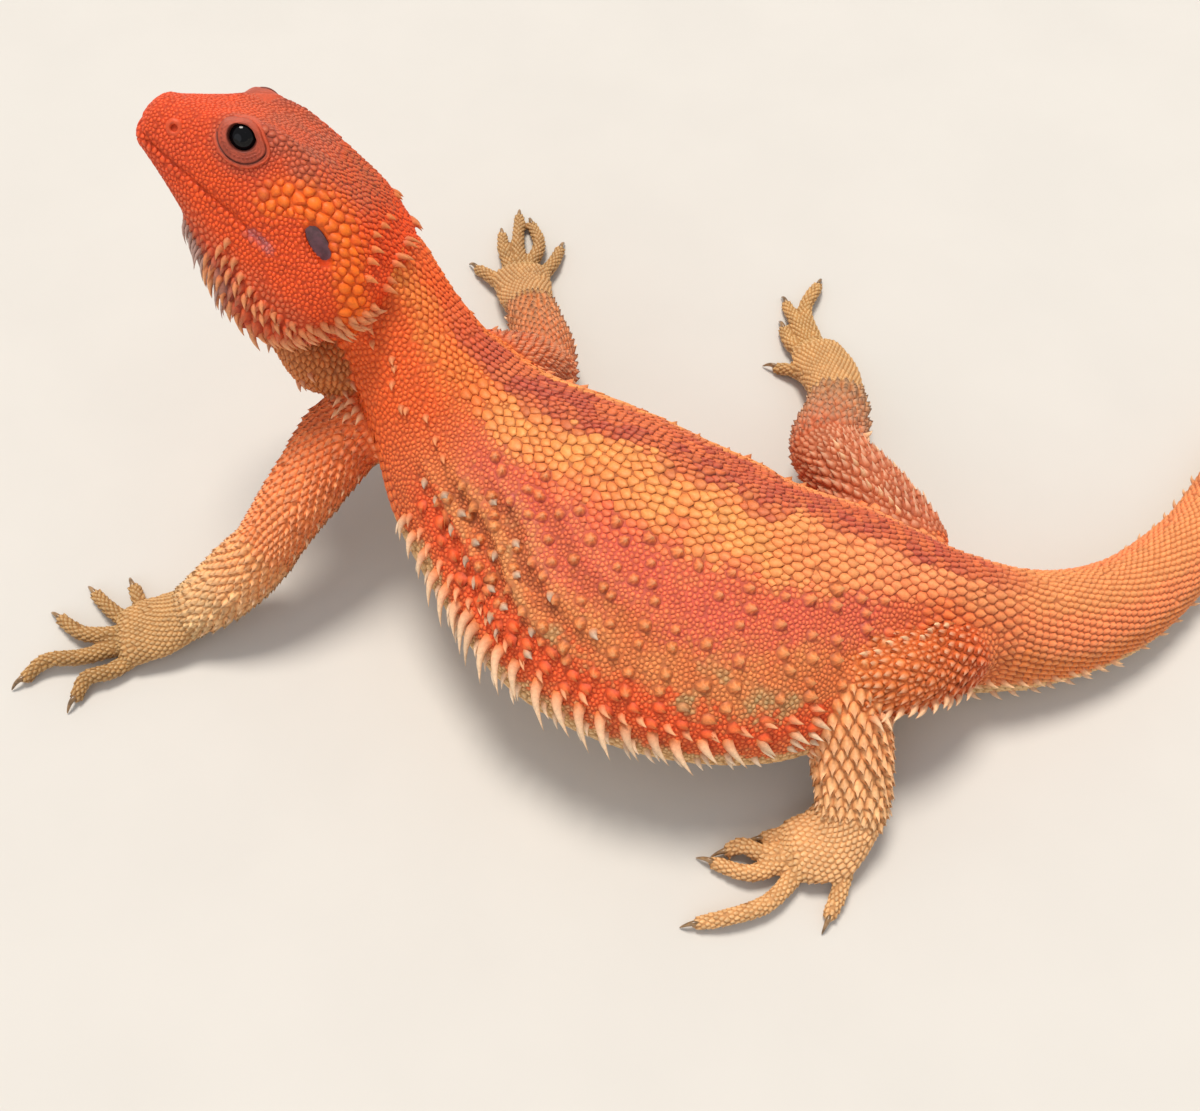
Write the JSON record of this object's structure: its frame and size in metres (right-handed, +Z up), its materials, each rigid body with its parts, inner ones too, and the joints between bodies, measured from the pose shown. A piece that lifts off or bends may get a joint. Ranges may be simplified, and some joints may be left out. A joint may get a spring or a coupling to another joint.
{
  "type": "bearded dragon",
  "caption": "Life-size still model of a basking bearded dragon lizard with raised head, spiny beard and side fringe, resting on its belly, feet and tail.",
  "frame": {"origin": "a point on the flat under the belly, at floor level", "axes": "+X toward the tail, -X toward the head, -Y toward the animal's left flank, +Z up"},
  "size_m": [0.413, 0.2174, 0.106],
  "materials": {
    "head_scales": "satin orange-red scales",
    "body_scales": "dry matt orange scales",
    "limb_scales": "dry matt keeled scales",
    "digit_scales": "dry matt tan scales",
    "eye": "wet gloss",
    "ear_drum": "smooth membrane",
    "claw": "satin horn"
  },
  "bodies": {
    "root": {"head": "head_scales", "beard": "head_scales", "neck": "body_scales", "torso": "body_scales", "tail_base": "body_scales", "tail_middle": "body_scales", "tail_end": "body_scales", "tail_tip": "body_scales", "upper_arm_left": "limb_scales", "upper_arm_right": "limb_scales", "forearm_left": "limb_scales", "forearm_right": "limb_scales", "hand_left": "digit_scales", "hand_right": "digit_scales", "thigh_left": "limb_scales", "thigh_right": "limb_scales", "shin_left": "limb_scales", "shin_right": "limb_scales", "foot_left": "digit_scales", "foot_right": "digit_scales", "eye_left": "eye", "eye_right": "eye", "ear_drum_left": "ear_drum", "ear_drum_right": "ear_drum", "claw_hand_left_i": "claw", "claw_hand_left_ii": "claw", "claw_hand_left_iii": "claw", "claw_hand_left_iv": "claw", "claw_hand_left_v": "claw", "claw_hand_right_i": "claw", "claw_hand_right_ii": "claw", "claw_hand_right_iii": "claw", "claw_hand_right_iv": "claw", "claw_hand_right_v": "claw", "claw_foot_left_i": "claw", "claw_foot_left_ii": "claw", "claw_foot_left_iii": "claw", "claw_foot_left_iv": "claw", "claw_foot_left_v": "claw", "claw_foot_right_i": "claw", "claw_foot_right_ii": "claw", "claw_foot_right_iii": "claw", "claw_foot_right_iv": "claw", "claw_foot_right_v": "claw"}
  },
  "joints": []
}
